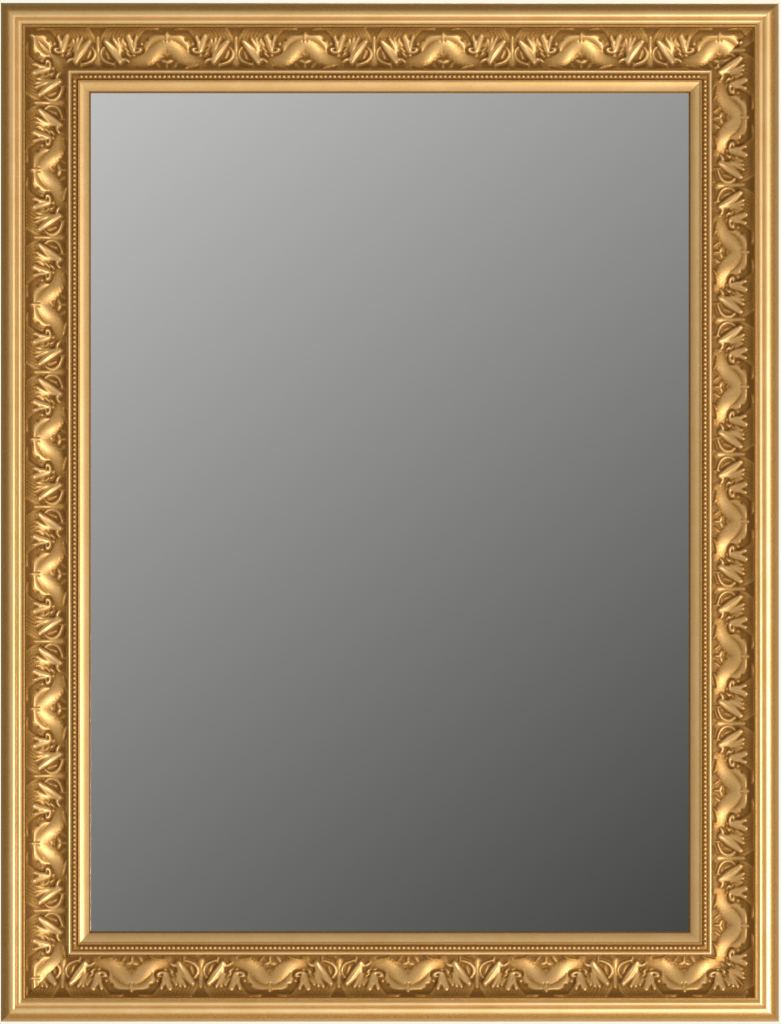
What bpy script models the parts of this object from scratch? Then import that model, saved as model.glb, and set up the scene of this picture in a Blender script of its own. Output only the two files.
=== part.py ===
"""A carved and gilded wall mirror: four mitred rails, a sheet of mirror glass and its back.

Metres, +Z up. The wall is the plane y = 0 and the mirror faces -Y. The origin is on the back of the
top rail, midway between its two hangers and level with their teeth.
"""
import math

import bmesh
import bpy
import numpy as np
from mathutils import Matrix, Vector

# The opening of the frame and the rail around it
SIGHT_WIDTH = 0.498
SIGHT_HEIGHT = 0.698
HANGING_DROP = 0.033
MITRE_GAP = 0.0003
FIT_GAP = 0.0003

# The rail's section, from its outer edge inwards, with heights from the wall
SIDE_HEIGHT = 0.0235
SHOULDER_WIDTH = 0.0104
RAIL_DEPTH = 0.0340
TORUS_FALL_WIDTH = 0.0026
TORUS_FALL = 0.0024
BEAD_WIDTH = 0.0050
BEAD_DROP = 0.0006
BEAD_RISE = 0.0014
LIP_WIDTH = 0.0029
LIP_RISE = 0.0007
HOLLOW_WIDTH = 0.0340
HOLLOW_FALL = 0.0105
HOLLOW_SAG = 0.0060
FILLET_WIDTH = 0.0035
FILLET_RISE = 0.0019
QUIRK_WIDTH = 0.00105
QUIRK_DEPTH = 0.0007
PEARL_WIDTH = 0.0031
PEARL_RISE = 0.0017
INNER_BEAD_WIDTH = 0.0018
INNER_BEAD_RISE = 0.0013
FASCIA_WIDTH = 0.0077
FASCIA_FALL = 0.0048
FASCIA_SWELL = 0.0011
SIGHT_CHAMFER_WIDTH = 0.0010
SIGHT_CHAMFER_FALL = 0.0016
SIGHT_LIP = 0.0017
RABBET_WIDTH = 0.0065

# The carving, which repeats along the hollow
REPEAT_ACROSS = 0.1148
REPEAT_UPRIGHT = 0.1119
TOP_START = -0.0132
BOTTOM_START = 0.0424
LEFT_START = 0.0048
RIGHT_START = -0.0483
CARVING_SINK = 0.0010
CARVING_LEVEL = 0.0004
CARVING_EDGE = 0.0012
CARVING_BED = 0.0038
CARVING_COLUMNS = 40
CARVING_ROWS = 18
CARVING_FACES = 244
STROKE_STEPS = 16

# What the rabbet holds
GLASS_THICKNESS = 0.004
GLASS_PLAY = 0.001
BACKING_THICKNESS = 0.003
POINT_LENGTH = 0.013
POINT_WIDTH = 0.008
POINT_THICKNESS = 0.0008
POINT_BITE = 0.005
POINT_COUNT_ACROSS = 2
POINT_COUNT_UPRIGHT = 3

# The two hangers, sunk in the back of the top rail
HANGER_SPACING = 0.360
HANGER_LENGTH = 0.056
HANGER_WIDTH = 0.015
HANGER_THICKNESS = 0.0010
TEETH = 8
TOOTH_DEPTH = 0.0022
NAIL_HOLLOW_LENGTH = 0.030
NAIL_HOLLOW_WIDTH = 0.020
NAIL_HOLLOW_DEPTH = 0.0039
SCREW_INSET = 0.0065
SCREW_HEAD_RADIUS = 0.0028
SCREW_HEAD_DEPTH = 0.0008
SCREW_RADIUS = 0.0013
SCREW_LENGTH = 0.011
SCREW_SIDES = 10

# How far a cutter runs past the face that it cuts
CUT_SPARE = 0.002
MITRE_SPARE = 0.010

RAIL_WIDTH = (SHOULDER_WIDTH + TORUS_FALL_WIDTH + BEAD_WIDTH + LIP_WIDTH + HOLLOW_WIDTH + FILLET_WIDTH
              + 2 * QUIRK_WIDTH + PEARL_WIDTH + INNER_BEAD_WIDTH + FASCIA_WIDTH + SIGHT_CHAMFER_WIDTH)
HOLLOW_START = SHOULDER_WIDTH + TORUS_FALL_WIDTH + BEAD_WIDTH + LIP_WIDTH
HOLLOW_TOP = RAIL_DEPTH - TORUS_FALL - BEAD_DROP
HOLLOW_FOOT = HOLLOW_TOP - HOLLOW_FALL
HOLLOW_FLOOR = HOLLOW_FOOT - CARVING_BED
SIGHT_EDGE_HEIGHT = HOLLOW_FOOT - FASCIA_FALL
CHAMFER_FOOT_HEIGHT = SIGHT_EDGE_HEIGHT - SIGHT_CHAMFER_FALL
RABBET_HEIGHT = CHAMFER_FOOT_HEIGHT - SIGHT_LIP
FRAME_WIDTH = SIGHT_WIDTH + 2 * RAIL_WIDTH
FRAME_HEIGHT = SIGHT_HEIGHT + 2 * RAIL_WIDTH
FRAME_CENTRE = Vector((0, 0, HANGING_DROP - FRAME_HEIGHT / 2))


def clear_scene():
    for thing in list(bpy.data.objects):
        bpy.data.objects.remove(thing, do_unlink=True)


def new_collection(name):
    collection = bpy.data.collections.new(name)
    bpy.context.scene.collection.children.link(collection)
    return collection


def new_material(name, colour, roughness, metallic):
    material = bpy.data.materials.new(name)
    material.use_nodes = True
    shader = material.node_tree.nodes["Principled BSDF"]
    shader.inputs["Base Color"].default_value = (*colour, 1)
    shader.inputs["Roughness"].default_value = roughness
    shader.inputs["Metallic"].default_value = metallic
    return material


def new_object(name, mesh, collection, material=None):
    thing = bpy.data.objects.new(name, mesh)
    collection.objects.link(thing)
    if material:
        mesh.materials.append(material)
    return thing


def new_cutter(name, mesh):
    cutter = new_object(name, mesh, cutters)
    cutter.hide_render = True
    cutter.display_type = "WIRE"
    return cutter


def add_boolean(thing, cutter, operation):
    step = thing.modifiers.new(cutter.name, "BOOLEAN")
    step.operation = operation
    step.solver = "EXACT"
    step.object = cutter


def box_mesh(name, size, centre=(0, 0, 0)):
    form = bmesh.new()
    place = Matrix.Translation(centre) @ Matrix.Diagonal((*size, 1))
    bmesh.ops.create_cube(form, size=1, matrix=place)
    return finish_mesh(name, form)


def finish_mesh(name, form):
    bmesh.ops.recalc_face_normals(form, faces=form.faces)
    mesh = bpy.data.meshes.new(name)
    form.to_mesh(mesh)
    form.free()
    return mesh


def outline_mesh(name, outline, thickness):
    """A flat outline in X and Y, thickened evenly about z = 0, as a closed mesh."""
    curve = bpy.data.curves.new(name, "CURVE")
    curve.dimensions = "2D"
    curve.fill_mode = "BOTH"
    curve.extrude = thickness / 2
    spline = curve.splines.new("POLY")
    spline.points.add(len(outline) - 1)
    for point, (x, y) in zip(spline.points, outline):
        point.co = (x, y, 0, 1)
    spline.use_cyclic_u = True
    guide = bpy.data.objects.new(name, curve)
    cutters.objects.link(guide)
    bpy.context.view_layer.update()
    mesh = bpy.data.meshes.new_from_object(guide.evaluated_get(bpy.context.evaluated_depsgraph_get()))
    bpy.data.objects.remove(guide)
    bpy.data.curves.remove(curve)
    form = bmesh.new()
    form.from_mesh(mesh)
    bpy.data.meshes.remove(mesh)
    bmesh.ops.remove_doubles(form, verts=form.verts, dist=0.00001)
    return finish_mesh(name, form)


def bulge(start, end, rise, steps):
    """Points after start, up to end, on a curve that swells by rise, or sinks where rise is below 0."""
    across, up = end[0] - start[0], end[1] - start[1]
    length = math.hypot(across, up)
    points = []
    for step in range(1, steps + 1):
        share = step / steps
        swell = rise * math.sin(math.pi * share) / length
        points.append((start[0] + across * share - up * swell, start[1] + up * share + across * swell))
    return points


def quarter_round(start, end, steps):
    """Points after start, up to end, on a quarter of an ellipse that leaves start upright."""
    points = []
    for step in range(1, steps + 1):
        angle = math.pi / 2 * step / steps
        points.append((start[0] + (end[0] - start[0]) * (1 - math.cos(angle)),
                       start[1] + (end[1] - start[1]) * math.sin(angle)))
    return points


def rail_section():
    """The moulding's outline: distance from the outer edge, and height from the wall."""
    outline = [(0, 0), (0, SIDE_HEIGHT)]

    def run(width, height, rise=0.0, steps=1):
        start = outline[-1]
        outline.extend(bulge(start, (start[0] + width, height), rise, steps))

    outline.extend(quarter_round(outline[-1], (SHOULDER_WIDTH, RAIL_DEPTH), 6))
    run(TORUS_FALL_WIDTH, RAIL_DEPTH - TORUS_FALL, TORUS_FALL / 3, 3)
    run(BEAD_WIDTH, RAIL_DEPTH - TORUS_FALL - BEAD_DROP / 2, BEAD_RISE, 4)
    run(LIP_WIDTH, HOLLOW_TOP, LIP_RISE, 3)
    outline.append((HOLLOW_START, HOLLOW_FLOOR))
    outline.append((HOLLOW_START + HOLLOW_WIDTH, HOLLOW_FLOOR))
    outline.append((HOLLOW_START + HOLLOW_WIDTH, HOLLOW_FOOT))
    run(FILLET_WIDTH, HOLLOW_FOOT, FILLET_RISE, 4)
    run(QUIRK_WIDTH, HOLLOW_FOOT, -QUIRK_DEPTH, 2)
    run(PEARL_WIDTH, HOLLOW_FOOT, PEARL_RISE, 4)
    run(QUIRK_WIDTH, HOLLOW_FOOT, -QUIRK_DEPTH, 2)
    run(INNER_BEAD_WIDTH, HOLLOW_FOOT, INNER_BEAD_RISE, 4)
    run(FASCIA_WIDTH, SIGHT_EDGE_HEIGHT, FASCIA_SWELL, 4)
    run(SIGHT_CHAMFER_WIDTH, CHAMFER_FOOT_HEIGHT)
    outline.append((RAIL_WIDTH, RABBET_HEIGHT))
    outline.append((RAIL_WIDTH - RABBET_WIDTH, RABBET_HEIGHT))
    outline.append((RAIL_WIDTH - RABBET_WIDTH, 0))
    return outline


def rail_mesh(name, length):
    """The plain moulding, running along X with its outer edge at z = 0 and its back at y = 0."""
    mesh = outline_mesh(name, rail_section(), length)
    across, height, along = Vector((0, 0, -1)), Vector((0, -1, 0)), Vector((1, 0, 0))
    turn = Matrix((across, height, along)).transposed().to_4x4()
    mesh.transform(turn)
    if turn.determinant() < 0:
        mesh.flip_normals()
    return mesh


def mitre_mesh(name, length):
    """A block that ends at 45 degrees, within which a rail and its carving are kept."""
    outer = length / 2 - MITRE_GAP / math.sqrt(2)
    inner = outer - RAIL_WIDTH
    top = MITRE_SPARE
    bottom = -RAIL_WIDTH - MITRE_SPARE
    outline = [(-outer - MITRE_SPARE, top), (outer + MITRE_SPARE, top),
               (inner - MITRE_SPARE, bottom), (-inner + MITRE_SPARE, bottom)]
    mesh = outline_mesh(name, outline, 4 * RAIL_DEPTH)
    mesh.transform(Matrix.Rotation(math.pi / 2, 4, "X"))
    return mesh


def stroke(along, across, half_repeat, root, bow, tip, width, height, crown=0.5, root_width=0.5,
           tip_width=0.5):
    """Height that one carved form adds to the hollow: a tapering ridge along a curve.

    Root, bow and tip are shares of half a repeat along the rail, counted from a stem, and of the
    hollow's width across it. The widths at the ends are shares of the width between them. A crown
    near 1 makes a sharp ridge, and near 0 a flat strap.
    """
    start, middle, end = (np.array((place[0] * half_repeat, place[1] * HOLLOW_WIDTH))
                          for place in (root, bow, tip))
    nearest = np.full(along.shape, np.inf)
    travelled = np.zeros(along.shape)
    for step in range(STROKE_STEPS + 1):
        t = step / STROKE_STEPS
        centre = start * (1 - t) ** 2 + middle * 2 * t * (1 - t) + end * t ** 2
        distance = np.hypot(along - centre[0], across - centre[1])
        travelled = np.where(distance < nearest, t, travelled)
        nearest = np.minimum(distance, nearest)
    ends = root_width * (1 - travelled) + tip_width * travelled
    taper = ends + (1 - ends) * np.sin(math.pi * travelled)
    reach = np.clip(1 - nearest / (width / 2 * taper), 0, 1)
    return height * (0.6 + 0.4 * np.sin(math.pi / 2 * travelled)) * reach ** crown


def carved_relief(along, across, half_repeat):
    """Height of all the carving over the plain hollow, on half a repeat from a stem to an arch."""

    def form(*places_and_sizes, **shape):
        return stroke(along, across, half_repeat, *places_and_sizes, **shape)

    broad = {"crown": 0.3, "root_width": 0.95, "tip_width": 0.7}
    arch = [form((1.10, 0.36), (0.78, 0.38), (0.44, 0.96), 0.0130, 0.0016, **broad),
            form((1.04, 0.24), (0.76, 0.12), (0.71, 0.50), 0.0080, 0.0015, **broad)]
    fronds = [form((0.12, 0.36), (0.11, 0.20), (0.21, 0.01), 0.0048, 0.0014),
              form((0.22, 0.42), (0.20, 0.20), (0.33, 0.01), 0.0048, 0.0014),
              form((0.38, 0.46), (0.35, 0.20), (0.49, 0.01), 0.0048, 0.0014),
              form((0.50, 0.34), (0.49, 0.16), (0.62, 0.01), 0.0048, 0.0014)]
    second_leaf = [form((0.51, 0.65), (0.43, 0.52), (0.38, 0.36), 0.0052, 0.0030),
                   form((0.51, 0.65), (0.45, 0.46), (0.455, 0.26), 0.0056, 0.0038),
                   form((0.51, 0.65), (0.52, 0.43), (0.57, 0.23), 0.0056, 0.0042),
                   form((0.47, 0.59), (0.57, 0.62), (0.68, 0.52), 0.0046, 0.0042)]
    first_leaf = [form((0.28, 0.77), (0.36, 0.72), (0.46, 0.78), 0.0058, 0.0028, tip_width=0.9),
                  form((0.31, 0.73), (0.36, 0.57), (0.31, 0.40), 0.0046, 0.0036),
                  form((0.34, 0.78), (0.22, 0.62), (0.16, 0.27), 0.0078, 0.0048),
                  form((0.23, 0.51), (0.16, 0.40), (0.08, 0.46), 0.0036, 0.0042)]
    foot = [form((0.00, 0.81), (0.00, 0.54), (0.00, 0.30), 0.0044, 0.0024, root_width=1.0, tip_width=0.8),
            form((0.23, 0.89), (0.00, 0.86), (0.02, 0.46), 0.0034, 0.0030),
            form((0.04, 1.00), (0.10, 0.96), (0.17, 1.01), 0.0026, 0.0019),
            form((1.00, 0.92), (1.00, 0.72), (1.00, 0.52), 0.0044, 0.0018)]
    return np.maximum.reduce(arch + fronds + second_leaf + first_leaf + foot)


def carving_mesh(name, repeat, start, length):
    """The hollow's floor and its carving, as one slab along a rail."""
    copies = math.ceil(length / repeat) + 1
    columns = CARVING_COLUMNS * copies
    form = bmesh.new()
    bmesh.ops.create_grid(form, x_segments=columns, y_segments=CARVING_ROWS, size=0.5)
    form.verts.ensure_lookup_table()
    places = np.array([vert.co[:2] for vert in form.verts])
    along = places[:, 0] * copies * repeat
    across = (0.5 - places[:, 1]) * (HOLLOW_WIDTH + 2 * CARVING_SINK) - CARVING_SINK
    folded = np.abs((along - start + repeat / 2) % repeat - repeat / 2)
    share = np.clip(across / HOLLOW_WIDTH, 0, 1)
    inside = np.minimum(share, 1 - share) * HOLLOW_WIDTH
    fade = np.clip(inside / CARVING_EDGE, 0, 1)
    hollow = HOLLOW_TOP - HOLLOW_FALL * share - HOLLOW_SAG * np.sin(math.pi * share)
    height = hollow - CARVING_LEVEL + carved_relief(folded, across, repeat / 2) * fade
    for vert, x, y, z in zip(form.verts, along, across, height):
        vert.co = (x, -z, -HOLLOW_START - y)
    top = list(form.faces)
    sunk = bmesh.ops.extrude_face_region(form, geom=top)["geom"]
    for vert in (part for part in sunk if isinstance(part, bmesh.types.BMVert)):
        vert.co.y = -HOLLOW_FLOOR + CARVING_SINK
    mesh = finish_mesh(name, form)
    slab = new_cutter(name, mesh)
    thinned = slab.modifiers.new("fewer faces", "DECIMATE")
    thinned.ratio = CARVING_FACES * copies / (4 * columns * CARVING_ROWS)
    return slab


def make_rail(name, length, repeat, start, quarter_turns, distance):
    rail = new_object(name, rail_mesh(name, length + CUT_SPARE), model, gilding)
    carving = carving_mesh(name + " carving", repeat, start, length)
    mitre = new_cutter(name + " mitre", mitre_mesh(name + " mitre", length))
    place = (Matrix.Translation(FRAME_CENTRE) @ Matrix.Rotation(quarter_turns * math.pi / 2, 4, "Y")
             @ Matrix.Translation((0, 0, distance)))
    for thing in (rail, carving, mitre):
        thing.matrix_world = place
    add_boolean(rail, carving, "UNION")
    add_boolean(rail, mitre, "INTERSECT")
    return rail


def make_point(name, rail, place):
    """A flat steel point, pressed half way into the rabbet's wall to hold the back in."""
    size = (POINT_WIDTH, POINT_THICKNESS, POINT_LENGTH)
    point = new_object(name, box_mesh(name, size), model, steel)
    point.matrix_world = place
    slot = new_cutter(name + " slot", box_mesh(name + " slot", [side + 2 * FIT_GAP for side in size]))
    slot.matrix_world = place
    add_boolean(rail, slot, "DIFFERENCE")


def hanger_outline():
    """The hanger seen from behind: a strap with teeth along the lower edge, which meet z = 0."""
    half = HANGER_LENGTH / 2
    outline = [(half, 0), (half, HANGER_WIDTH), (-half, HANGER_WIDTH), (-half, 0)]
    pitch = NAIL_HOLLOW_LENGTH / TEETH
    for tooth in range(TEETH):
        start = pitch * tooth - NAIL_HOLLOW_LENGTH / 2
        outline.append((start, 0))
        outline.append((start + pitch / 2, TOOTH_DEPTH))
    outline.append((NAIL_HOLLOW_LENGTH / 2, 0))
    return outline


def round_bar(name, profile):
    """A turned solid about Y, from a profile of radius and depth below the rail's back."""
    mesh = bpy.data.meshes.new(name)
    mesh.from_pydata([(radius, -depth, 0) for radius, depth in profile],
                     [(step, step + 1) for step in range(len(profile) - 1)], [])
    bar = bpy.data.objects.new(name, mesh)
    turned = bar.modifiers.new("turned", "SCREW")
    turned.axis = "Y"
    turned.steps = turned.render_steps = SCREW_SIDES
    turned.use_merge_vertices = True
    turned.merge_threshold = 0.0001
    turned.use_smooth_shade = False
    return bar


def make_hanger(word, rail, x):
    """A sawtooth hanger with its two screws, flush in a recess with room behind it for a nail's head."""
    plate_back = SCREW_HEAD_DEPTH + 2 * FIT_GAP
    plate_front = plate_back + HANGER_THICKNESS
    mesh = outline_mesh("hanger_" + word, hanger_outline(), HANGER_THICKNESS)
    mesh.transform(Matrix.Translation((x, -(plate_back + plate_front) / 2, 0))
                   @ Matrix.Rotation(math.pi / 2, 4, "X"))
    plate = new_object("hanger_" + word, mesh, model, steel)
    recess_depth = plate_front + FIT_GAP + CUT_SPARE
    recess = new_cutter(word + " recess", box_mesh(
        word + " recess", (HANGER_LENGTH + 2 * FIT_GAP, recess_depth, HANGER_WIDTH + 2 * FIT_GAP),
        (x, CUT_SPARE - recess_depth / 2, HANGER_WIDTH / 2)))
    add_boolean(rail, recess, "DIFFERENCE")
    nail_depth = NAIL_HOLLOW_DEPTH + CUT_SPARE
    nail_hollow = new_cutter(word + " nail hollow", box_mesh(
        word + " nail hollow", (NAIL_HOLLOW_LENGTH, nail_depth, NAIL_HOLLOW_WIDTH),
        (x, CUT_SPARE - nail_depth / 2, 0)))
    add_boolean(rail, nail_hollow, "DIFFERENCE")
    for end in (-1, 1):
        name = f"screw_{word}_{'outer' if end * x > 0 else 'inner'}"
        centre = (x + end * (HANGER_LENGTH / 2 - SCREW_INSET), 0, HANGER_WIDTH / 2)
        head_front = FIT_GAP + SCREW_HEAD_DEPTH
        screw = round_bar(name, ((0, FIT_GAP), (SCREW_HEAD_RADIUS, FIT_GAP), (SCREW_HEAD_RADIUS, head_front),
                                 (SCREW_RADIUS, head_front), (SCREW_RADIUS, SCREW_LENGTH), (0, SCREW_LENGTH)))
        hole_radius = SCREW_RADIUS + FIT_GAP
        hole_end = SCREW_LENGTH + FIT_GAP
        hole = round_bar(name + " hole", ((0, -CUT_SPARE), (hole_radius, -CUT_SPARE),
                                          (hole_radius, hole_end), (0, hole_end)))
        model.objects.link(screw)
        screw.data.materials.append(steel)
        cutters.objects.link(hole)
        hole.hide_render = True
        hole.display_type = "WIRE"
        for thing in (screw, hole):
            thing.location = centre
        add_boolean(plate, hole, "DIFFERENCE")
        add_boolean(rail, hole, "DIFFERENCE")


clear_scene()
model = new_collection("wall_mirror")
cutters = new_collection("cutters")
gilding = new_material("antique gilding", (0.42, 0.25, 0.09), 0.42, 0.7)
silvered = new_material("mirror glass", (0.85, 0.87, 0.86), 0.02, 1.0)
board = new_material("backing board", (0.21, 0.13, 0.07), 0.85, 0.0)
steel = new_material("plated steel", (0.55, 0.54, 0.50), 0.35, 1.0)

rails = {
    "rail_top": make_rail("rail_top", FRAME_WIDTH, REPEAT_ACROSS, TOP_START, 0, FRAME_HEIGHT / 2),
    "rail_right": make_rail("rail_right", FRAME_HEIGHT, REPEAT_UPRIGHT, RIGHT_START, 1, FRAME_WIDTH / 2),
    "rail_bottom": make_rail("rail_bottom", FRAME_WIDTH, REPEAT_ACROSS, BOTTOM_START, 2, FRAME_HEIGHT / 2),
    "rail_left": make_rail("rail_left", FRAME_HEIGHT, REPEAT_UPRIGHT, LEFT_START, 3, FRAME_WIDTH / 2),
}

pane_width = SIGHT_WIDTH + 2 * (RABBET_WIDTH - GLASS_PLAY)
pane_height = SIGHT_HEIGHT + 2 * (RABBET_WIDTH - GLASS_PLAY)
glass_back = RABBET_HEIGHT - FIT_GAP - GLASS_THICKNESS
backing_back = glass_back - FIT_GAP - BACKING_THICKNESS
for name, thickness, back, finish in (("mirror_glass", GLASS_THICKNESS, glass_back, silvered),
                                      ("backing_board", BACKING_THICKNESS, backing_back, board)):
    sheet = new_object(name, box_mesh(name, (pane_width, thickness, pane_height)), model, finish)
    sheet.location = FRAME_CENTRE - Vector((0, back + thickness / 2, 0))

point_number = 0
for name, quarter_turns, count, run, reach in (
        ("rail_top", 0, POINT_COUNT_ACROSS, SIGHT_WIDTH, SIGHT_HEIGHT),
        ("rail_right", 1, POINT_COUNT_UPRIGHT, SIGHT_HEIGHT, SIGHT_WIDTH),
        ("rail_bottom", 2, POINT_COUNT_ACROSS, SIGHT_WIDTH, SIGHT_HEIGHT),
        ("rail_left", 3, POINT_COUNT_UPRIGHT, SIGHT_HEIGHT, SIGHT_WIDTH)):
    turn = Matrix.Translation(FRAME_CENTRE) @ Matrix.Rotation(quarter_turns * math.pi / 2, 4, "Y")
    for step in range(count):
        point_number += 1
        centre = Vector((run * ((step + 0.5) / count - 0.5), -backing_back + FIT_GAP + POINT_THICKNESS / 2,
                         reach / 2 + RABBET_WIDTH + POINT_BITE - POINT_LENGTH / 2))
        make_point(f"retaining_point_{point_number}", rails[name], turn @ Matrix.Translation(centre))

for side, word in ((-1, "left"), (1, "right")):
    make_hanger(word, rails["rail_top"], side * HANGER_SPACING / 2)
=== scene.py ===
"""A wall mirror in a carved and gilded frame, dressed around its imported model."""
import math

import bmesh
import bpy
import numpy as np
from mathutils import Matrix, Vector


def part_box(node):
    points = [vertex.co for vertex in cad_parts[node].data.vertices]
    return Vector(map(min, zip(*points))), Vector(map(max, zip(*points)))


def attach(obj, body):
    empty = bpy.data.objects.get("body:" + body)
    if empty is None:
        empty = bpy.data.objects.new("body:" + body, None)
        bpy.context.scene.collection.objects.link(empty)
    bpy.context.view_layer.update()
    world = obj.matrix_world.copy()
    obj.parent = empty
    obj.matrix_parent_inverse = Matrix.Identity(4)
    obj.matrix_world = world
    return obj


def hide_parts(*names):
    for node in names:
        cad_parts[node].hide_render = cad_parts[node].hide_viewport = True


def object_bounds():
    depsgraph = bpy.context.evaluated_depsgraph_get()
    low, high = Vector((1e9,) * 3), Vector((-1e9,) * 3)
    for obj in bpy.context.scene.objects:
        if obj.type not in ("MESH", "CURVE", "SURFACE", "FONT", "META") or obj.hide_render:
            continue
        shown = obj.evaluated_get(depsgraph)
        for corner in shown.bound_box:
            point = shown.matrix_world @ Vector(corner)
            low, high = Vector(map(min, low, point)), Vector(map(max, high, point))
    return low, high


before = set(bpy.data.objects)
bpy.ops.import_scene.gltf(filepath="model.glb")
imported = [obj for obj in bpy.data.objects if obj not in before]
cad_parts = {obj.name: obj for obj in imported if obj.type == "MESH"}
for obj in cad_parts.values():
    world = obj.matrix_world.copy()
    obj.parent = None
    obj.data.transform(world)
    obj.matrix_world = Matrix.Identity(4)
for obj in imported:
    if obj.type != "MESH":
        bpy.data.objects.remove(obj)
model_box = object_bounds()

# The studio. The camera looks straight at the mirror through a long lens from well back. The main soft
# box stands to the right of it and low, a weaker one to the left and high, and one behind the mirror
# lights its back. The room is pale to the camera and dim to the mirror.
low, high = model_box
middle = (low + high) / 2
outer_width = high.x - low.x
outer_height = high.z - low.z
picture_rows = 1024
frame_rows = 1019.6
view_height = outer_height * picture_rows / frame_rows
lens_length = 200
sensor_size = 36
camera_shift = Vector((0.0006, 0.006, 0.0002))
camera_data = bpy.data.cameras.new("camera")
camera_data.lens = lens_length
camera_data.sensor_width = sensor_size
camera_data.clip_end = 100
camera = bpy.data.objects.new("camera", camera_data)
bpy.context.scene.collection.objects.link(camera)
bpy.context.scene.camera = camera
camera_distance = view_height * lens_length / sensor_size
camera.location = Vector((middle.x, low.y - camera_distance, middle.z)) + camera_shift
camera.rotation_euler = (math.pi / 2, 0, 0)
bpy.context.scene.view_settings.view_transform = "Standard"


def soft_box(name, place, size, power, colour):
    """A round soft box that shines on the mirror and isn't seen itself."""
    lamp = bpy.data.lights.new(name, "AREA")
    lamp.shape = "DISK"
    lamp.size = size
    lamp.energy = power
    lamp.color = colour
    holder = bpy.data.objects.new(name, lamp)
    bpy.context.scene.collection.objects.link(holder)
    holder.location = middle + Vector(place)
    holder.rotation_euler = (-Vector(place)).to_track_quat("-Z", "Y").to_euler()
    holder.visible_camera = False


soft_box("key", (1.30, -2.50, -0.70), 0.8, 77, (1.0, 0.98, 0.95))
soft_box("fill", (-2.1, -2.4, 1.6), 1.6, 14, (1.0, 0.98, 0.95))
soft_box("back", (1.0, 3.0, 1.8), 2.5, 70, (1.0, 0.98, 0.95))


class Shade:
    """One socket of a node tree, so that a pattern can be written as a sum."""

    def __init__(self, tree, socket=None):
        self.tree = tree
        self.socket = socket

    def node(self, kind, settings=None, output=0, **inputs):
        """Adds a node. Inputs are named, or numbered as i0, i1 and so on."""
        made = self.tree.nodes.new(kind)
        for name, value in (settings or {}).items():
            setattr(made, name, value)
        for name, value in inputs.items():
            numbered = name[1:].isdigit()
            target = made.inputs[int(name[1:]) if numbered else name.replace("_", " ")]
            if isinstance(value, Shade):
                self.tree.links.new(value.socket, target)
            else:
                target.default_value = value
        return Shade(self.tree, made.outputs[output])

    def maths(self, operation, *values):
        inputs = {f"i{place}": value for place, value in enumerate(values)}
        return self.node("ShaderNodeMath", {"operation": operation}, **inputs)

    def __add__(self, other):
        return self.maths("ADD", self, other)

    def __radd__(self, other):
        return self.maths("ADD", other, self)

    def __sub__(self, other):
        return self.maths("SUBTRACT", self, other)

    def __rsub__(self, other):
        return self.maths("SUBTRACT", other, self)

    def __mul__(self, other):
        return self.maths("MULTIPLY", self, other)

    def __rmul__(self, other):
        return self.maths("MULTIPLY", other, self)

    def __pow__(self, other):
        return self.maths("POWER", self, other)

    def eased(self, start, end):
        """0 at start, 1 at end, and smooth between them."""
        return self.node("ShaderNodeMapRange", {"interpolation_type": "SMOOTHSTEP"},
                         i0=self, i1=start, i2=end)

    def held(self):
        """Kept between 0 and 1."""
        return self.node("ShaderNodeClamp", i0=self)

    def between(self, start, end):
        """The colour that lies this share of the way from start to end."""
        return self.node("ShaderNodeMix", {"data_type": "RGBA"}, output=2, i0=self, i6=start, i7=end)

    def into(self, shader, name):
        self.tree.links.new(self.socket, shader.inputs[name])


room = bpy.data.worlds.new("room")
bpy.context.scene.world = room
room.use_nodes = True
shade = Shade(room.node_tree)
seen = shade.node("ShaderNodeLightPath")
tone = seen.between((0.20, 0.19, 0.17, 1), (0.975, 0.930, 0.79, 1))
tone.into(room.node_tree.nodes["Background"], "Color")

# The floor, a plain pale sheet below the mirror, and the card behind the camera. Only the glass shows
# the card, which gives it the soft change from light grey, top left, to dark grey.


def new_material(name):
    material = bpy.data.materials.new(name)
    material.use_nodes = True
    return material, material.node_tree.nodes["Principled BSDF"], Shade(material.node_tree)


def link_piece(name, mesh, *materials):
    piece = bpy.data.objects.new(name, mesh)
    bpy.context.scene.collection.objects.link(piece)
    for material in materials:
        mesh.materials.append(material)
    return piece


def flat_sheet(name, place, *materials):
    form = bmesh.new()
    bmesh.ops.create_grid(form, x_segments=1, y_segments=1, size=0.5, matrix=place)
    mesh = bpy.data.meshes.new(name)
    form.to_mesh(mesh)
    form.free()
    sheet = link_piece(name, mesh, *materials)
    return sheet


floor_drop = 1.3
floor_span = 10
floor_finish, shader, _ = new_material("floor")
shader.inputs["Base Color"].default_value = (0.86, 0.83, 0.77, 1)
shader.inputs["Roughness"].default_value = 0.8
flat_sheet("floor", Matrix.Translation((0, 0, low.z - floor_drop))
           @ Matrix.Diagonal((floor_span, floor_span, 1, 1)), floor_finish)

card_distance = camera_distance + 1.2
card_overhang = 1.2
card_spread = (camera_distance + card_distance) / camera_distance
card_width = outer_width * card_spread
card_height = outer_height * card_spread
card_finish, shader, shade = new_material("card")
spot = shade.node("ShaderNodeTexCoord", output=3)
sideways = spot.node("ShaderNodeSeparateXYZ", i0=spot)
upwards = spot.node("ShaderNodeSeparateXYZ", output=2, i0=spot)
across = sideways * (1 / card_width) + (0.5 - middle.x / card_width)
down = (0.5 + middle.z / card_height) - upwards * (1 / card_height)
tone = (0.822 - 0.215 * across - 0.380 * down) ** 2.2
grey = tone.node("ShaderNodeCombineColor", i0=tone, i1=tone * 0.99, i2=tone * 0.97)
grey.into(shader, "Emission Color")
shader.inputs["Base Color"].default_value = (0, 0, 0, 1)
shader.inputs["Specular IOR Level"].default_value = 0
shader.inputs["Emission Strength"].default_value = 1
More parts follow.
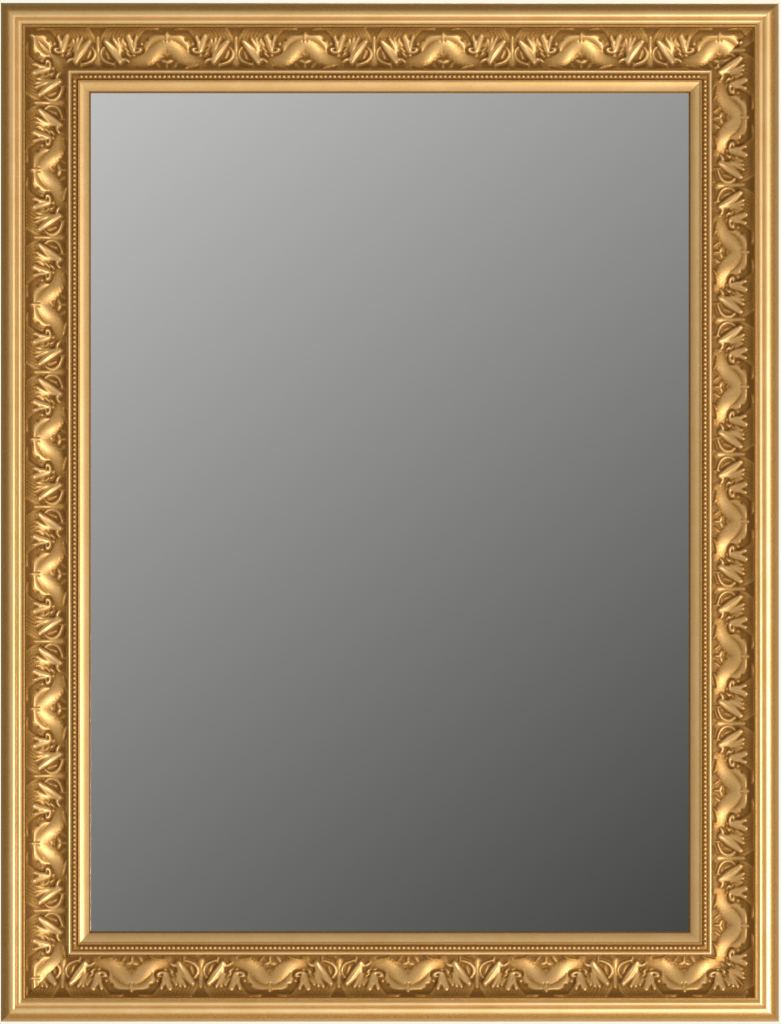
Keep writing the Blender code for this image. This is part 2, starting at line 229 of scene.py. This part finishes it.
card = flat_sheet("card", Matrix.Translation((middle.x, -card_distance, middle.z))
                  @ Matrix.Rotation(math.pi / 2, 4, "X")
                  @ Matrix.Diagonal((card_width * card_overhang, card_height * card_overhang, 1, 1)),
                  card_finish)
card.visible_camera = False
card.visible_diffuse = False
card.visible_shadow = False

# The rails. Each is one length of softwood moulding, mitred at both ends and glued. It is gessoed,
# gilded and toned with a brown glaze that stays in the grooves, and painted shade is added to that
# glaze;
# its back and rabbet are bare wood.
millimetre = 0.001
side_height = 23.5
shoulder_width = 10.4
rail_depth = 34.0
bead_height = 31.3
hollow_start = 20.9
hollow_width = 34.0
hollow_top = 31.0
hollow_foot = 20.5
hollow_sag = 6.0
hollow_floor = 15.0
fillet_width = 3.5
quirk_width = 1.05
pearl_width = 3.1
fascia_foot = 15.7
chamfer_foot = 14.1
rabbet_height = 12.4
rail_width = 74.1
rabbet_width = 6.5
mitre_gap = 0.02
# Each rail's quarter turns, length, reach to the rail opposite, repeat of the ornament and its start
rail_runs = {
    "top": (0, outer_width, outer_height, 114.8, -13.2),
    "right": (1, outer_height, outer_width, 111.9, -48.3),
    "bottom": (2, outer_width, outer_height, 114.8, 42.4),
    "left": (3, outer_height, outer_width, 111.9, 4.8),
}


def moulding_section():
    """The section's points: millimetres in from the outer edge and off the wall, and the glaze and
    painted shade there.
    """
    section = [(0, 0, 0.8), (0, side_height - 6, 0.6), (0, side_height, 0.3)]
    # The outer roll: glaze and painted shade on its shoulder, none on its crown.
    turns = 16
    for step in range(1, turns + 1):
        angle = math.pi / 2 * step / turns
        across = shoulder_width * (1 - math.cos(angle))
        section.append((across, side_height + (rail_depth - side_height) * math.sin(angle),
                        min(0.16 + 0.11 * across, 0.6, max(0, (9.5 - across) / 4.5))))

    def member(width, height, rise, steps, foot_glaze_and_shade, crown_glaze_and_shade=0.0):
        """A stretch of the section that swells by rise, or sinks where rise is below 0."""
        start_across, start_height, _ = section[-1]
        climb = height - start_height
        length = math.hypot(width, climb)
        for step in range(1, steps + 1):
            share = step / steps
            arch = math.sin(math.pi * share)
            section.append((start_across + width * share - climb * rise * arch / length,
                            start_height + climb * share + width * rise * arch / length,
                            foot_glaze_and_shade + (crown_glaze_and_shade - foot_glaze_and_shade) * arch))

    member(2.6, 31.6, 0.8, 6, 0.15, 0.1)
    member(5.0, bead_height, 1.4, 12, 0.35, 0.1)
    # The step down to the hollow, dark under the bead: glaze and painted shade.
    member(2.9, hollow_top, 0.7, 8, 0.8, 0.6)
    section.append((hollow_start, hollow_floor, 0.9))
    section.append((hollow_start + hollow_width, hollow_floor, 0.9))
    section.append((hollow_start + hollow_width, hollow_foot, 0.8))
    member(fillet_width, hollow_foot, 1.9, 12, 0.35)
    member(quirk_width, hollow_foot, -0.7, 4, 0.6, 0.8)
    member(pearl_width, hollow_foot, 0.5, 6, 0.75, 0.7)
    member(quirk_width, hollow_foot, -0.7, 4, 0.6, 0.8)
    member(1.8, hollow_foot, 1.3, 8, 0.6, 0.35)
    member(7.0, fascia_foot + 0.35, 0.6, 14, 0.35, 0.22)
    # Painted shadow along the sight edge: the chamfer and the lip's inner face below it are dark, in
    # place of the lip's shadow and its reflection in the glass.
    section.append((rail_width - 1.0, fascia_foot, 0.8))
    section.append((rail_width, chamfer_foot, 0.9))
    section.append((rail_width, rabbet_height, 0.95))
    section.append((rail_width - rabbet_width, rabbet_height, 0.95))
    section.append((rail_width - rabbet_width, 0, 0.9))
    return section


def rail_place(quarter_turns, reach):
    """From a rail along X in millimetres, outer edge up and back at y = 0, to its place."""
    turn = Matrix.Rotation(quarter_turns * math.pi / 2, 4, "Y")
    return (Matrix.Translation((middle.x, 0, middle.z)) @ turn
            @ Matrix.Translation((0, 0, reach / 2)) @ Matrix.Diagonal((millimetre,) * 3 + (1,)))


def cut_mitres(form, length):
    """Cuts both ends at 45 degrees and closes them."""
    for side in (-1, 1):
        bmesh.ops.bisect_plane(form, geom=form.verts[:] + form.edges[:] + form.faces[:], dist=0.0001,
                               plane_co=(side * (length / 2 - mitre_gap / math.sqrt(2)), 0, 0),
                               plane_no=(side, 0, -1), clear_outer=True)
        bmesh.ops.holes_fill(form, edges=[edge for edge in form.edges if edge.is_boundary], sides=0)


def mesh_from(form, name, place, sharp_angle):
    """The finished mesh in its place, smooth but for edges sharper than the angle, in degrees."""
    bmesh.ops.recalc_face_normals(form, faces=form.faces)
    mesh = bpy.data.meshes.new(name)
    form.to_mesh(mesh)
    form.free()
    mesh.transform(place)
    mesh.shade_smooth()
    mesh.set_sharp_from_angle(angle=math.radians(sharp_angle))
    return mesh


def swept_moulding(run_length):
    """The section drawn along a rail and mitred, with bare wood on its back and in its rabbet."""
    form = bmesh.new()
    glaze_and_painted_light = form.verts.layers.float.new("glaze_and_painted_light")
    corners = []
    for across, height, tone in moulding_section():
        corner = form.verts.new((-run_length / 2 - 1, -height, -across))
        corner[glaze_and_painted_light] = tone
        corners.append(corner)
    swept = bmesh.ops.extrude_face_region(form, geom=[form.faces.new(corners)])["geom"]
    bmesh.ops.translate(form, verts=[part for part in swept if isinstance(part, bmesh.types.BMVert)],
                        vec=(run_length + 2, 0, 0))
    cut_mitres(form, run_length)
    bmesh.ops.recalc_face_normals(form, faces=form.faces)
    for face in form.faces:
        inner_wall = abs(face.calc_center_median().z + rail_width - rabbet_width) < 0.01
        if face.normal.y > 0.5 or inner_wall:
            face.material_index = 1
    return form


def finish_piece(name, mesh, slot, *materials):
    """Links a piece of the mirror, which has a single body."""
    piece = link_piece(name, mesh, *materials)
    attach(piece, "root")
    return piece


def hollow_out(mesh, boxes):
    """Sinks boxes, each given by two corners in metres, into a mesh."""
    whole = bpy.data.objects.new("whole", mesh)
    bpy.context.scene.collection.objects.link(whole)
    cutters = []
    for corner, opposite in boxes:
        form = bmesh.new()
        size = Vector(opposite) - Vector(corner)
        centre = (Vector(opposite) + Vector(corner)) / 2
        bmesh.ops.create_cube(form, size=1,
                              matrix=Matrix.Translation(centre) @ Matrix.Diagonal((*size, 1)))
        for face in form.faces:
            face.material_index = 1
        block = bpy.data.meshes.new("cutter")
        form.to_mesh(block)
        form.free()
        cutter = bpy.data.objects.new("cutter", block)
        bpy.context.scene.collection.objects.link(cutter)
        cut = whole.modifiers.new("cut", "BOOLEAN")
        cut.object = cutter
        cut.operation = "DIFFERENCE"
        cutters.append(cutter)
    bpy.context.view_layer.update()
    sunk = bpy.data.meshes.new_from_object(whole.evaluated_get(bpy.context.evaluated_depsgraph_get()))
    for thing in [whole] + cutters:
        bpy.data.objects.remove(thing)
    return sunk


def gilding():
    """Satin gold leaf over gesso with a brown glaze, and painted shade in its hollows; what stands proud
    is rubbed bright and given a painted highlight.
    """
    material, shader, shade = new_material("antique gilding")
    spot = shade.node("ShaderNodeTexCoord", output=3)
    glaze_and_painted_light = shade.node("ShaderNodeAttribute", {"attribute_name": "glaze_and_painted_light"}, output=2)
    cloud = spot.node("ShaderNodeTexNoise", Vector=spot, Scale=30.0, Detail=4.0, Roughness=0.6)
    mottle = spot.node("ShaderNodeTexNoise", Vector=spot, Scale=700.0, Detail=3.0, Roughness=0.7)
    gold = cloud.eased(0.3, 0.7).between((0.80, 0.53, 0.23, 1), (0.87, 0.60, 0.29, 1))
    # Painted highlight, with rubbed wear: below 0 the attribute lightens the gold.
    gold = (glaze_and_painted_light * -1.0).held().between(gold, (0.98, 0.82, 0.56, 1))
    # Brown glaze and painted shade: above 0 the attribute darkens the gold and makes it less metallic.
    glaze_and_shade = (glaze_and_painted_light * (0.6 + 0.8 * mottle)).held()
    toned = glaze_and_shade.eased(0.0, 0.75).between(gold, (0.42, 0.21, 0.045, 1))
    glaze_and_shade.eased(0.5, 1.0).between(toned, (0.18, 0.080, 0.014, 1)).into(shader, "Base Color")
    (0.35 + 0.10 * mottle + 0.12 * glaze_and_shade).into(shader, "Roughness")
    (0.62 - 0.25 * glaze_and_shade).into(shader, "Metallic")
    mottle.node("ShaderNodeBump", Height=mottle, Strength=0.10, Distance=0.0004).into(shader, "Normal")
    shader.inputs["Specular IOR Level"].default_value = 0.25
    return material


def bare_wood(name, grain_scale):
    """Planed softwood, a little grey with age. Its grain is long where grain_scale is small."""
    material, shader, shade = new_material(name)
    spot = shade.node("ShaderNodeTexCoord", output=3)
    run = spot.node("ShaderNodeMapping", i0=spot, Scale=grain_scale)
    grain = spot.node("ShaderNodeTexNoise", Vector=run, Scale=160.0, Detail=5.0, Roughness=0.65,
                      Distortion=0.4)
    stain = spot.node("ShaderNodeTexNoise", Vector=spot, Scale=14.0, Detail=3.0)
    timber = grain.eased(0.35, 0.7).between((0.50, 0.34, 0.19, 1), (0.33, 0.20, 0.10, 1))
    (stain.eased(0.4, 0.8) * 0.5).between(timber, (0.30, 0.21, 0.13, 1)).into(shader, "Base Color")
    (0.68 + 0.15 * grain).into(shader, "Roughness")
    grain.node("ShaderNodeBump", Height=grain, Strength=0.25, Distance=0.0005).into(shader, "Normal")
    return material


gold_finish = gilding()
level_wood = bare_wood("bare wood, level grain", (0.12, 1, 1))
upright_wood = bare_wood("bare wood, upright grain", (1, 1, 0.12))
fit_gap = 0.0003
hollow_length = 0.030
hollow_height = 0.020
hollow_depth = 0.0039
for word, (quarter_turns, length, reach, _, _) in rail_runs.items():
    place = rail_place(quarter_turns, reach)
    mesh = mesh_from(swept_moulding(length / millimetre), f"moulding_{word}", place, 35)
    if word == "top":
        sinkings = []
        for side in ("left", "right"):
            plate_low, plate_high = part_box(f"hanger_{side}")
            centre = (plate_low.x + plate_high.x) / 2
            sinkings.append(((plate_low.x - fit_gap, plate_low.y - fit_gap, plate_low.z - fit_gap),
                             (plate_high.x + fit_gap, fit_gap, plate_high.z + fit_gap)))
            sinkings.append(((centre - hollow_length / 2, -hollow_depth, -hollow_height / 2),
                             (centre + hollow_length / 2, fit_gap, hollow_height / 2)))
        mesh = hollow_out(mesh, sinkings)
    wood = level_wood if word in ("top", "bottom") else upright_wood
    piece = finish_piece(f"moulding_{word}", mesh, "antique_gilding", gold_finish, wood)
    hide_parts(f"rail_{word}")

# The carving, a run of leaves, stems and arched straps, pressed in composition, laid in the hollow of
# each rail and gilded with it. Half of its repeat is shaped here, and the rest mirrors that half.


def soften(values, reach):
    """Values averaged with their neighbours, mirrored at the edges."""
    spread = np.exp(-0.5 * (np.arange(-3 * reach, 3 * reach + 1) / reach) ** 2)
    spread /= spread.sum()
    for axis in range(values.ndim):
        border = [(0, 0)] * values.ndim
        border[axis] = (3 * reach, 3 * reach)
        padded = np.pad(values, border, mode="reflect")
        values = np.apply_along_axis(lambda line: np.convolve(line, spread, "valid"), axis, padded)
    return values


def eased(values, start, end):
    """0 where values reach start, 1 where they reach end, and smooth between them."""
    share = np.clip((values - start) / (end - start), 0, 1)
    return share * share * (3 - 2 * share)


class Carving:
    """The relief over the plain hollow, on half a repeat: from a stem to the middle of an arch.

    Places are shares of that half along the rail and of the hollow's width across it. Widths and
    heights are millimetres. What is laid later lies over what came before.
    """

    def __init__(self, half_length):
        self.half_length = half_length
        fineness = 0.25
        columns = round(half_length / fineness) + 1
        rows = round(hollow_width / fineness) + 1
        self.along, self.across = np.meshgrid(np.linspace(0, half_length, columns),
                                              np.linspace(0, hollow_width, rows), indexing="ij")
        self.height = np.zeros(self.along.shape)

    def follow(self, places, steps=20):
        """Distance to a curve through the hollow, the share of it travelled, and the side of it."""
        points = [np.array((along * self.half_length, across * hollow_width))
                  for along, across in places]
        order = len(points) - 1
        distance = np.full(self.along.shape, np.inf)
        travelled = np.zeros(self.along.shape)
        side = np.zeros(self.along.shape)
        line = []
        for step in range(steps + 1):
            t = step / steps
            line.append(sum(math.comb(order, power) * t ** power * (1 - t) ** (order - power) * point
                            for power, point in enumerate(points)))
        for step, (start, end) in enumerate(zip(line, line[1:])):
            run = end - start
            out_along = self.along - start[0]
            out_across = self.across - start[1]
            share = np.clip((out_along * run[0] + out_across * run[1]) / (run @ run), 0, 1)
            gap_along = out_along - share * run[0]
            gap_across = out_across - share * run[1]
            gap = np.hypot(gap_along, gap_across)
            nearer = gap < distance
            distance = np.where(nearer, gap, distance)
            travelled = np.where(nearer, (step + share) / steps, travelled)
            side = np.where(nearer, np.sign(run[0] * gap_across - run[1] * gap_along), side)
        return distance, travelled, side

    def lobe(self, places, width, height, root=0.6, tip=0.6, low=0.7, round_over=0.8, veins=0,
             lean=0.0, sink=0.0):
        """A rounded lobe that swells out of what is there, and melts into it at its edges.

        Root and tip are its end widths as shares of its width. It rises from low at the
        root, and loses sink of its height by the tip.
        """
        distance, travelled, side = self.follow(places)
        ends = root + (tip - root) * travelled
        half = width / 2 * (ends + (1 - ends) * np.sin(math.pi * travelled))
        reach = np.clip(distance / half, 0, 1)
        form = (1 - reach ** 2) ** round_over * (1 + lean * reach * side)
        if veins:
            form = form * (0.85 + 0.15 * np.cos(2 * math.pi * veins * reach))
        lift = height * (low + (1 - low) * np.sin(math.pi / 2 * np.clip(travelled / 0.8, 0, 1)))
        lift = lift * (1 - sink * travelled ** 2)
        self.height = np.maximum(self.height, lift * form)
        return reach

    def groove(self, places, width, depth):
        """A cut along a curve, which tapers to both its ends."""
        distance, travelled, _ = self.follow(places)
        half = width / 2 * (0.3 + 0.7 * np.sin(math.pi * travelled) ** 0.6)
        reach = np.clip(distance / half, 0, 1)
        self.height = self.height - depth * (1 - reach ** 2) ** 0.7

    def eye(self, place, radius, depth, stretch=1.0):
        """A drilled hollow."""
        reach = np.hypot((self.along - place[0] * self.half_length) / stretch,
                         self.across - place[1] * hollow_width) / radius
        self.height = self.height - depth * np.clip(1 - reach ** 2, 0, 1) ** 0.6

    def bead(self, place, radius, height):
        """A raised bead with a narrow cut round it."""
        reach = np.hypot(self.along - place[0] * self.half_length,
                         self.across - place[1] * hollow_width) / radius
        self.height = np.where(reach < 1, height * np.sqrt(np.clip(1 - reach ** 2, 0, 1)),
                               self.height * np.clip((reach - 1) * radius / 0.3, 0.2, 1))

    def glaze_and_painted_light(self):
        """How much brown glaze and painted shade lies on each point, and below 0 how bright it is rubbed
        and given a painted highlight.
        """
        proud = self.height - soften(self.height, 5)
        broad = self.height - soften(self.height, 18)
        share = self.across / hollow_width
        # Painted shade, with the glaze in the same hollows: darker in pockets, round the edges of broad
        # forms, on low ground, under the outer lip and near the inner edge.
        left = (0.30 + 0.42 * eased(proud, 0.3, -1.0) + 0.35 * eased(broad, 1.5, -1.2)
                + 0.10 * eased(self.height, 0.9, -0.8) + 0.30 * eased(share, 0.22, 0.03)
                + 0.3 * eased(share, 0.76, 0.98))
        # Painted highlight, with rubbed wear: lighter where the carving stands proud.
        return np.clip(left, 0, 1) - 0.25 * eased(proud, 0.5, 1.8)

    def sample(self, values, along, across):
        """Values read between the points of the half repeat."""
        folded = np.abs((along + self.half_length) % (2 * self.half_length) - self.half_length)
        column = np.clip(folded / self.half_length * (values.shape[0] - 1), 0, values.shape[0] - 1.001)
        row = np.clip(across / hollow_width * (values.shape[1] - 1), 0, values.shape[1] - 1.001)
        left, above = column.astype(int), row.astype(int)
        right_share, below_share = column - left, row - above
        near = values[left, above] * (1 - right_share) + values[left + 1, above] * right_share
        far = values[left, above + 1] * (1 - right_share) + values[left + 1, above + 1] * right_share
        return near * (1 - below_share) + far * below_share


def carve(repeat):
    """Carves half a repeat, from what lies deepest to what lies on top."""
    work = Carving(repeat / 2)
    along_share = work.along / work.half_length
    across_share = work.across / hollow_width
    work.height = work.height - 0.7
    work.height = work.height + 1.1 * eased(across_share, 0.66, 0.9) * eased(along_share, 0.78, 0.6)
    # The plume of long strands that fans from behind the leaves to the outer lip
    for strand in (
            ((0.580, 0.300), (0.580, 0.143), (0.718, 0.009)),
            ((0.527, 0.300), (0.527, 0.143), (0.669, 0.009)),
            ((0.477, 0.345), (0.468, 0.166), (0.617, 0.009)),
            ((0.428, 0.435), (0.408, 0.211), (0.564, 0.009)),
            ((0.382, 0.502), (0.358, 0.233), (0.511, 0.009)),
            ((0.339, 0.547), (0.314, 0.244), (0.458, 0.009)),
            ((0.292, 0.614), (0.270, 0.244), (0.406, 0.009)),
            ((0.250, 0.525), (0.227, 0.222), (0.353, 0.009)),
            ((0.200, 0.435), (0.184, 0.200), (0.300, 0.009)),
            ((0.148, 0.379), (0.142, 0.200), (0.250, 0.009)),
            ((0.095, 0.357), (0.100, 0.200), (0.200, 0.009)),
            ((0.046, 0.334), (0.059, 0.200), (0.152, 0.009))):
        work.lobe(strand, 3.1, 1.3, root=0.9, tip=0.9, low=0.5, round_over=0.6, lean=0.4)
    # The broad strap of the arch, which runs on below the leaves and carries fine reeding
    strap = work.lobe([(1.107, 0.401), (0.909, 0.357), (0.823, 0.592), (0.698, 0.816), (0.501, 0.883)],
                      15.5, 3.8, root=0.95, tip=0.8, low=0.95, round_over=0.9, sink=0.75)
    crown = work.lobe([(1.054, 0.267), (0.856, 0.211), (0.751, 0.300), (0.685, 0.525)],
                      9.0, 2.3, root=0.9, tip=0.9, low=0.9, round_over=1.2)
    on_strap = np.clip(2.5 * (0.75 - np.minimum(strap, crown)), 0, 1)
    reed_width = 1.6
    work.height = work.height + 0.13 * on_strap * np.sin(work.along * 2 * math.pi / reed_width)
    work.groove([(0.705, 0.157), (0.830, 0.135), (0.959, 0.161)], 2.4, 2.2)
    work.lobe([(0.718, 0.058), (0.804, 0.027), (0.883, 0.058)], 2.6, 1.9)
    work.eye((0.711, 0.291), 1.3, 1.4, 1.6)
    # Under the arch: stippled ground, and a small flower on the axis
    stipple = (0.45 * np.sin(work.along * 2.3 + 1.2 * np.sin(work.across * 1.3))
               * np.sin(work.across * 2.1 + np.sin(work.along * 1.7)))
    work.height = work.height + (stipple * (1 - on_strap) * eased(along_share, 0.6, 0.7)
                                 * eased(across_share, 0.4, 0.5))
    work.lobe([(1.000, 0.648), (0.978, 0.603), (0.951, 0.574)], 4.0, 1.9)
    work.lobe([(1.000, 0.827), (0.968, 0.783), (0.929, 0.776)], 3.6, 1.7)
    work.lobe([(0.909, 0.951), (0.876, 0.895), (0.856, 0.839)], 3.4, 1.0)
    work.lobe([(1.000, 0.951), (1.000, 0.906), (1.000, 0.861)], 3.0, 1.4)
    work.eye((0.991, 0.715), 1.0, 1.6)
    # The slot below the strap, with a small leaf in it
    work.groove([(0.538, 0.928), (0.619, 1.009), (0.725, 1.007)], 3.2, 3.6)
    work.lobe([(0.630, 0.910), (0.698, 0.919), (0.762, 1.007)], 2.0, 1.8)
    # The second leaf: three lobes and a bead, and the hook below them with the cut round it
    work.lobe([(0.441, 0.558), (0.402, 0.469), (0.358, 0.312)], 6.2, 2.8, veins=2)
    work.groove([(0.395, 0.462), (0.455, 0.491), (0.468, 0.596)], 1.6, 1.6)
    work.lobe([(0.520, 0.614), (0.501, 0.424), (0.445, 0.233)], 7.4, 4.2,
              tip=0.8, round_over=0.6, veins=2)
    work.lobe([(0.527, 0.547), (0.534, 0.379), (0.567, 0.229)], 4.4, 4.0, tip=0.8, round_over=0.6)
    work.eye((0.599, 0.357), 1.9, 2.0, 1.2)
    work.bead((0.632, 0.395), 1.5, 1.5)
    work.groove([(0.461, 0.596), (0.567, 0.664), (0.705, 0.614), (0.656, 0.462)], 1.9, 2.4)
    work.lobe([(0.501, 0.581), (0.580, 0.603), (0.661, 0.547), (0.632, 0.471), (0.580, 0.491)], 3.2, 3.8,
              low=0.9, round_over=0.6)
    # The first leaf's curl, small lobes between the leaves, and the winding cut below them
    work.groove([(0.323, 0.626), (0.408, 0.648), (0.507, 0.783), (0.435, 0.895), (0.283, 0.839)],
                2.2, 3.0)
    work.lobe([(0.310, 0.760), (0.382, 0.709), (0.441, 0.798)], 3.4, 2.8, round_over=0.6)
    work.groove([(0.300, 0.547), (0.362, 0.626), (0.411, 0.547)], 1.8, 2.2)
    work.lobe([(0.366, 0.558), (0.329, 0.502), (0.303, 0.422)], 3.2, 3.2)
    work.lobe([(0.461, 0.664), (0.435, 0.637), (0.402, 0.581)], 2.2, 3.0)
    # The scroll beside the stem: a dark pocket with a lump in it, and the thin cup round it
    work.groove([(0.092, 0.379), (0.079, 0.614), (0.132, 0.771), (0.283, 0.861)], 4.0, 1.8)
    work.lobe([(0.103, 0.513), (0.125, 0.592), (0.152, 0.715)], 3.0, 1.1)
    work.lobe([(0.092, 0.462), (0.007, 0.570), (0.026, 0.816), (0.217, 0.865)], 3.0, 2.2,
              root=0.7, tip=0.9, low=0.9)
    work.eye((0.072, 0.404), 1.4, 1.6, 1.4)
    # The first leaf: ridges that run up into the plume, and the great blade that leans to the stem
    for ridge_end, height in (((0.353, 0.300), 2.6), ((0.292, 0.278), 3.0), ((0.227, 0.274), 3.4)):
        work.lobe([(0.329, 0.738), (0.310, 0.525), ridge_end], 4.4, height,
                  root=0.8, tip=0.7, round_over=0.6, lean=0.3)
    work.lobe([(0.323, 0.789), (0.257, 0.570), (0.119, 0.334)], 8.6, 4.8,
              root=0.75, tip=0.55, low=0.9, round_over=0.6, veins=2, lean=-0.2)
    # The foot: a deep curved cut with a petal below it, and a bud at its end
    work.groove([(-0.020, 0.812), (0.112, 0.888), (0.224, 0.946)], 3.2, 4.0)
    work.lobe([(0.063, 1.000), (0.116, 0.969), (0.169, 1.004)], 2.6, 1.9)
    work.lobe([(0.245, 0.951), (0.250, 0.872), (0.242, 0.805)], 1.9, 1.8)
    work.eye((0.018, 0.978), 1.1, 1.4)
    # The stem, and the drop on the middle of the arch
    work.lobe([(0.000, 0.839), (0.000, 0.547), (0.000, 0.256)], 4.0, 1.7, root=1.6, tip=0.7)
    work.eye((0.978, 0.314), 1.2, 1.0, 0.8)
    work.lobe([(1.000, 0.155), (1.000, 0.278), (1.000, 0.395)], 3.4, 3.3, root=0.8, tip=0.8)
    # Gesso and gilding fill the carving a little
    work.height = 0.85 * soften(work.height, 2)
    return work


def carving_form(run_length, repeat, start):
    """A rail's hollow with all its carving, closed below, and the glaze, painted shade and painted
    highlight on it.
    """
    work = carve(repeat)
    glaze_and_painted_light = work.glaze_and_painted_light()
    cell = 0.54
    edge_fade = 0.6
    form = bmesh.new()
    bmesh.ops.create_grid(form, x_segments=round(run_length / cell),
                          y_segments=round(hollow_width / cell), size=0.5)
    mesh = bpy.data.meshes.new("hollow")
    form.to_mesh(mesh)
    places = np.empty(len(mesh.vertices) * 3)
    mesh.vertices.foreach_get("co", places)
    places = places.reshape(-1, 3)
    along = places[:, 0] * run_length
    across = (0.5 - places[:, 1]) * hollow_width
    share = across / hollow_width
    inside = np.minimum(share, 1 - share) * hollow_width
    fade = np.clip(inside / edge_fade, 0, 1)
    relief = work.sample(work.height, along - start, across)
    height = (hollow_top + (hollow_foot - hollow_top) * share - hollow_sag * np.sin(math.pi * share)
              + relief * fade)
    mesh.vertices.foreach_set("co", np.column_stack((along, -height, -hollow_start - across)).ravel())
    tones = mesh.attributes.new("glaze_and_painted_light", "FLOAT", "POINT")
    tones.data.foreach_set("value", work.sample(glaze_and_painted_light, along - start, across).astype(np.float32))
    form.clear()
    form.from_mesh(mesh)
    bpy.data.meshes.remove(mesh)
    rim = [edge for edge in form.edges if edge.is_boundary]
    for part in bmesh.ops.extrude_edge_only(form, edges=rim)["geom"]:
        if isinstance(part, bmesh.types.BMVert):
            part.co.y = -hollow_floor
    bmesh.ops.holes_fill(form, edges=[edge for edge in form.edges if edge.is_boundary], sides=0)
    return form


for word, (quarter_turns, length, reach, repeat, start) in rail_runs.items():
    form = carving_form(length / millimetre, repeat, start)
    cut_mitres(form, length / millimetre)
    mesh = mesh_from(form, f"carving_{word}", rail_place(quarter_turns, reach), 60)
    finish_piece(f"carving_{word}", mesh, "antique_gilding", gold_finish)

# The pearls, a string of small round beads in a groove of each rail, turned a little long. They are
# pressed with the moulding and gilded, and glaze with painted shade lies dark between them.
pearls_in_a_repeat = 30
pearl_line = hollow_start + hollow_width + fillet_width + quirk_width + pearl_width / 2
pearl_base = hollow_foot + 0.5
for word, (quarter_turns, length, reach, repeat, _) in rail_runs.items():
    pitch = repeat / pearls_in_a_repeat
    radii = (pitch * 0.5, 1.5, 1.55)
    last = math.floor((length / millimetre / 2 - pearl_line - pitch / 2) / pitch)
    form = bmesh.new()
    glaze_and_painted_light = form.verts.layers.float.new("glaze_and_painted_light")
    for number in range(-last, last + 1):
        place = Matrix.Translation((number * pitch, -pearl_base, -pearl_line))
        bmesh.ops.create_uvsphere(form, u_segments=8, v_segments=6, radius=1,
                                  matrix=place @ Matrix.Diagonal((*radii, 1)))
    # Painted shade with the glaze: each pearl is darker towards its foot and lighter on top.
    for vert in form.verts:
        vert[glaze_and_painted_light] = min(1, max(0, 0.9 - 0.65 * (-vert.co.y - pearl_base) / radii[1]))
    mesh = mesh_from(form, f"pearls_{word}", rail_place(quarter_turns, reach), 80)
    finish_piece(f"pearls_{word}", mesh, "antique_gilding", gold_finish)

# The glass, one sheet of float glass, flat and without a bevel, silvered on its back. It lies in the
# rabbet of the four rails, and the board behind it holds it there.
silver, shader, _ = new_material("silvered glass")
shader.inputs["Base Color"].default_value = (0.96, 0.97, 0.965, 1)
shader.inputs["Metallic"].default_value = 1.0
shader.inputs["Roughness"].default_value = 0.015


def dress(node, material):
    """Gives a piece of the model its finish."""
    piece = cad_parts[node]
    piece.data.materials.clear()
    piece.data.materials.append(material)


dress("mirror_glass", silver)

# The back, a sheet of brown hardboard cut to the size of the glass. It lies on the glass's silvered
# side, and ten flat steel points pressed into the rails hold both in the rabbet.
board, shader, shade = new_material("hardboard")
spot = shade.node("ShaderNodeTexCoord", output=3)
fibre = spot.node("ShaderNodeTexNoise", Vector=spot, Scale=420.0, Detail=6.0, Roughness=0.8)
patch = spot.node("ShaderNodeTexNoise", Vector=spot, Scale=9.0, Detail=3.0, Roughness=0.6)
brown = patch.eased(0.3, 0.7).between((0.21, 0.125, 0.062, 1), (0.27, 0.165, 0.085, 1))
(fibre.eased(0.35, 0.75) * 0.55).between(brown, (0.12, 0.066, 0.032, 1)).into(shader, "Base Color")
(0.62 + 0.2 * fibre).into(shader, "Roughness")
fibre.node("ShaderNodeBump", Height=fibre, Strength=0.2, Distance=0.0003).into(shader, "Normal")
dress("backing_board", board)

# The fittings, all thin zinc-plated steel. Two pressed hangers with teeth lie flush in the back of the
# top rail, each held by two screws, and the ten points are pressed into the rabbet's wall.
steel, shader, shade = new_material("zinc plate")
spot = shade.node("ShaderNodeTexCoord", output=3)
spangle = spot.node("ShaderNodeTexVoronoi", Vector=spot, Scale=520.0)
scuff = spot.node("ShaderNodeTexNoise", Vector=spot, Scale=900.0, Detail=4.0, Roughness=0.7)
spangle.eased(0.0, 0.9).between((0.60, 0.61, 0.62, 1), (0.42, 0.43, 0.45, 1)).into(shader, "Base Color")
(0.28 + 0.25 * scuff).into(shader, "Roughness")
scuff.node("ShaderNodeBump", Height=scuff, Strength=0.08, Distance=0.0002).into(shader, "Normal")
shader.inputs["Metallic"].default_value = 0.95
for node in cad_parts:
    if node.startswith(("hanger", "screw", "retaining_point")):
        dress(node, steel)
